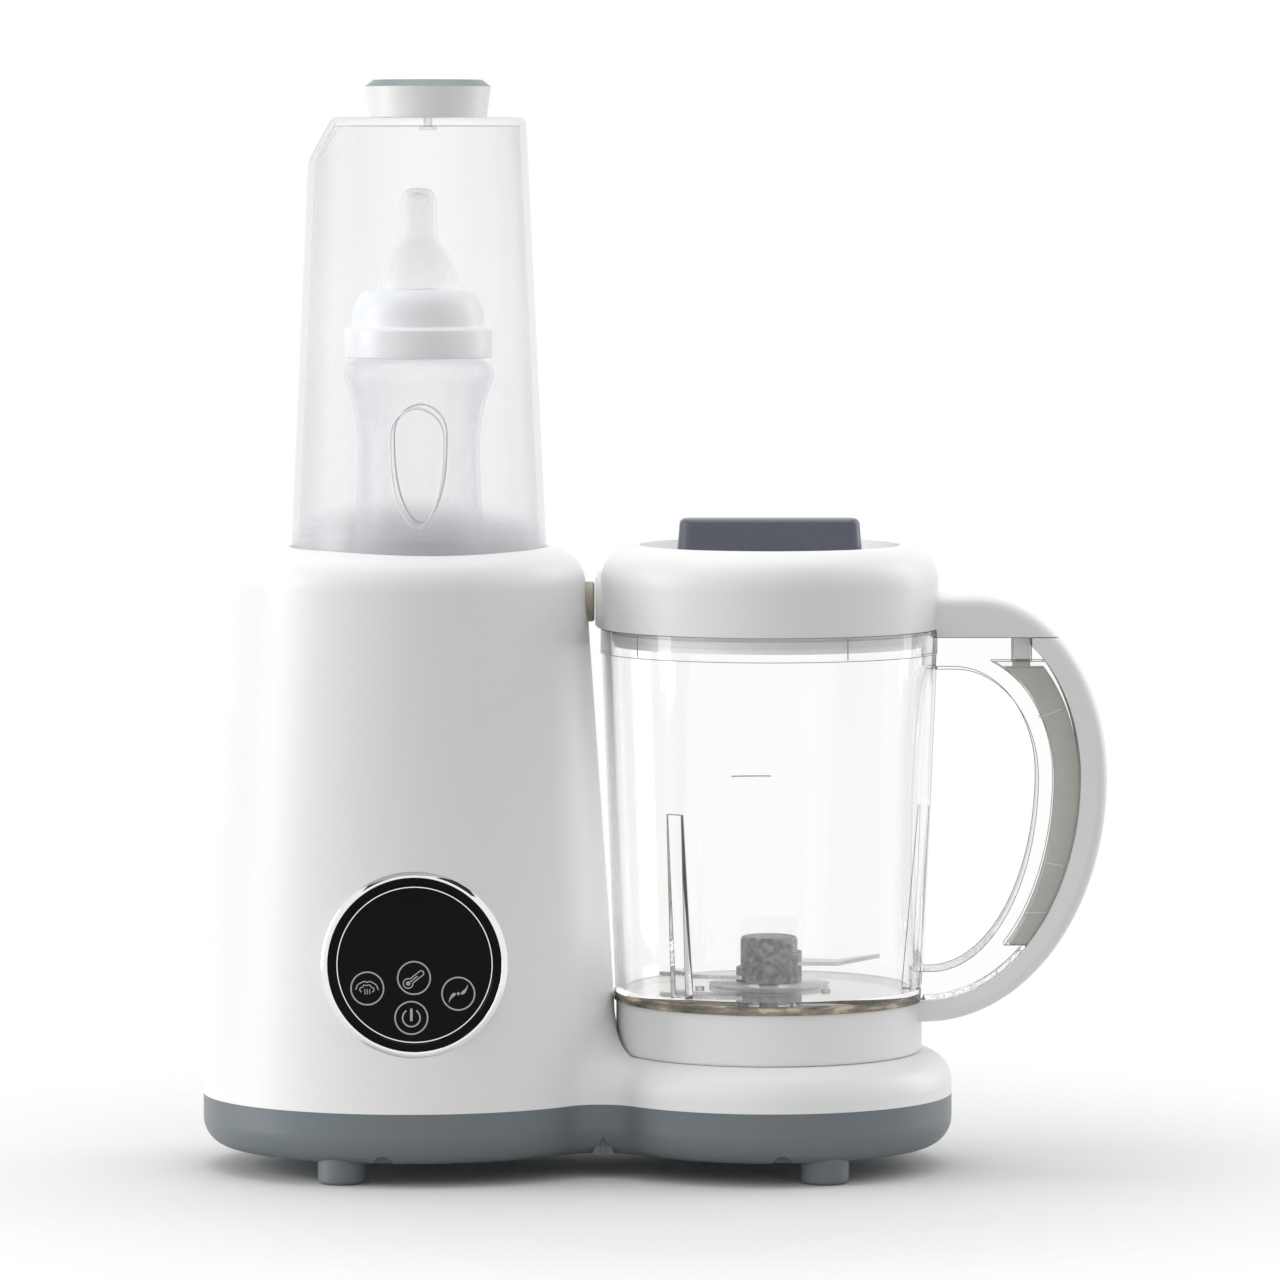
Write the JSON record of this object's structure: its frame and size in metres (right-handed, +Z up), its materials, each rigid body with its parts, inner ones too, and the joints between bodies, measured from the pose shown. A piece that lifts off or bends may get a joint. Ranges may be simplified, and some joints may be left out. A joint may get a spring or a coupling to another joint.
{
  "type": "baby food maker",
  "caption": "Countertop baby food maker: a tapered warming tower with clear hood and bottle beside a lidded clear blending jug on one low base.",
  "frame": {"origin": "centre of the footprint, on the surface that the feet stand on", "axes": "+Z up, +X from the tower towards the jug handle, the touch panel faces -Y"},
  "size_m": [0.3164, 0.13, 0.38],
  "materials": {
    "white_gloss": "smooth gloss",
    "base_grey": "fine satin",
    "foot_rubber": "matt",
    "screw_steel": "zinc plated",
    "heater_steel": "brushed",
    "bezel_chrome": "polished",
    "panel_black": "gloss black",
    "silicone_tan": "satin silicone",
    "jug_clear": "clear",
    "hood_clear": "lightly frosted clear",
    "bottle_clear": "milky clear",
    "teat_silicone": "translucent silicone",
    "grip_slate": "satin",
    "inlay_grey": "satin",
    "hub_grey": "satin",
    "rod_beige": "satin",
    "board_green": "lacquered board",
    "motor_steel": "plain",
    "belt_black": "matt",
    "bush_bronze": "turned",
    "duct_white": "moulded"
  },
  "bodies": {
    "base_unit": {"base_tray": "base_grey", "base_screws": "screw_steel", "main_housing": "white_gloss", "warming_well": "duct_white", "well_seal": "silicone_tan", "heater_plate": "heater_steel", "heating_element": "heater_steel", "thermostat": "motor_steel", "steam_duct": "duct_white", "steam_nozzle": "silicone_tan", "panel_bezel": "bezel_chrome", "touch_glass": "panel_black", "touch_board": "board_green", "motor_bracket": "motor_steel", "motor_case": "motor_steel", "motor_cap": "motor_steel", "drive_belt": "belt_black", "spindle_bush": "bush_bronze", "bearing_carrier": "duct_white", "power_board": "board_green", "interlock_switch": "hub_grey", "cord_gland": "base_grey", "foot_front_left": "foot_rubber", "foot_front_right": "foot_rubber", "foot_rear_left": "foot_rubber", "foot_rear_right": "foot_rubber"},
    "motor_rotor": {"motor_shaft": "screw_steel", "motor_pulley": "hub_grey"},
    "drive_rotor": {"driven_pulley": "hub_grey", "drive_spindle": "screw_steel", "drive_dog": "hub_grey"},
    "jug": {"jug_collar": "white_gloss", "jug_base_seal": "silicone_tan", "jug_body": "jug_clear", "floor_screws": "screw_steel", "blade_bush": "duct_white", "bush_nut": "screw_steel", "handle_cover": "white_gloss"},
    "blade": {"blade_hub": "hub_grey", "blade_wings": "heater_steel", "blade_shaft": "screw_steel", "blade_coupling": "hub_grey"},
    "push_rod": {"interlock_rod": "rod_beige"},
    "lid": {"lid_shell": "white_gloss", "lid_liner": "hub_grey", "lid_seal": "silicone_tan", "steam_port": "white_gloss"},
    "cap": {"cap_dish": "white_gloss", "cap_grip": "grip_slate", "cap_seal": "silicone_tan"},
    "hood": {"hood_shell": "hood_clear", "hood_knob": "white_gloss", "knob_inlay": "inlay_grey", "knob_screw": "screw_steel"},
    "bottle": {"bottle_body": "bottle_clear", "bottle_collar": "bottle_clear", "bottle_teat": "teat_silicone"}
  },
  "joints": [
    {"name": "hood_lift", "type": "slide", "parent": "base_unit", "child": "hood", "axis": [0, 0, 1], "range_m": [0, 0.2]},
    {"name": "bottle_lift", "type": "slide", "parent": "base_unit", "child": "bottle", "axis": [0, 0, 1], "range_m": [0, 0.02]},
    {"name": "jug_lift", "type": "slide", "parent": "base_unit", "child": "jug", "axis": [0, 0, 1], "range_m": [0, 0.12]},
    {"name": "lid_lift", "type": "slide", "parent": "jug", "child": "lid", "axis": [0, 0, 1], "range_m": [0, 0.06]},
    {"name": "rod_rise", "type": "slide", "parent": "jug", "child": "push_rod", "axis": [0, 0, 1], "range_m": [0, 0.002]},
    {"name": "cap_turn", "type": "hinge", "parent": "lid", "child": "cap", "pos_m": [0.04038, 0, 0.213], "axis": [0, 0, 1], "range_deg": [0, 60]},
    {"name": "drive_spin", "type": "hinge", "parent": "base_unit", "child": "drive_rotor", "pos_m": [0.04038, 0, 0.04], "axis": [0, 0, 1], "continuous": true},
    {"name": "motor_spin", "type": "hinge", "parent": "base_unit", "child": "motor_rotor", "pos_m": [-0.08478, 0, 0.04], "axis": [0, 0, 1], "continuous": true},
    {"name": "blade_spin", "type": "hinge", "parent": "jug", "child": "blade", "pos_m": [0.04038, 0, 0.07], "axis": [0, 0, 1], "continuous": true}
  ],
  "couplings": [
    {"joint": "drive_spin", "follows": "motor_spin", "ratio": 0.33333},
    {"joint": "blade_spin", "follows": "motor_spin", "ratio": 0.33333},
    {"joint": "rod_rise", "follows": "lid_lift", "ratio": 0.033333}
  ]
}
